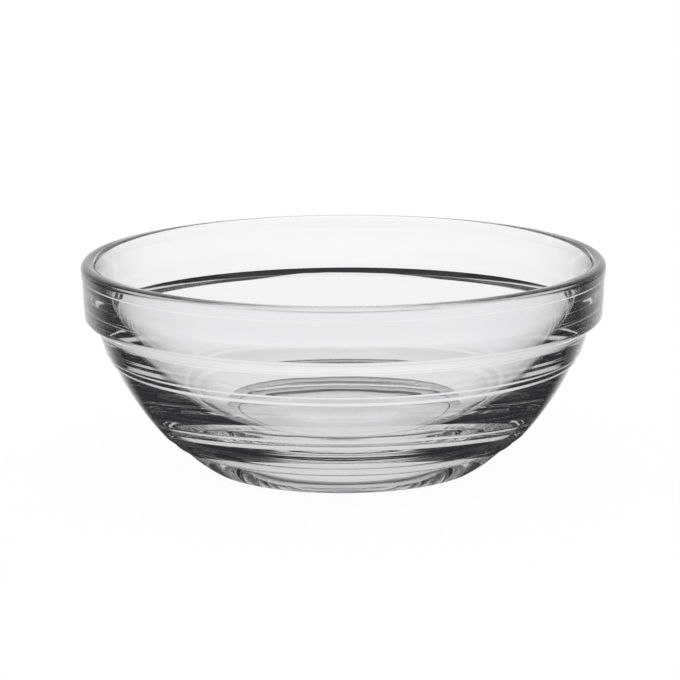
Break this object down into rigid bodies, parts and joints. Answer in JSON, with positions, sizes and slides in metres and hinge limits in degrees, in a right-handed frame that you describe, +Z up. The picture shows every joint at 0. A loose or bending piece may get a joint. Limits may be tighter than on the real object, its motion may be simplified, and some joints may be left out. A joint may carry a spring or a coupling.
{
  "type": "glass bowl",
  "caption": "Round clear pressed-glass stacking bowl: rounded rim bead, tall band over an overhang, stepped tiers outside, smooth inside and a flat foot ring.",
  "frame": {"origin": "middle of the foot ring, on the surface that the bowl stands on", "axes": "+Z up along the bowl's axis of revolution; X and Y are any two square directions"},
  "size_m": [0.1398, 0.1398, 0.0557],
  "materials": {
    "clear_glass": "fire-polished clear pressed glass"
  },
  "bodies": {
    "root": {"bowl": "clear_glass"}
  },
  "joints": []
}
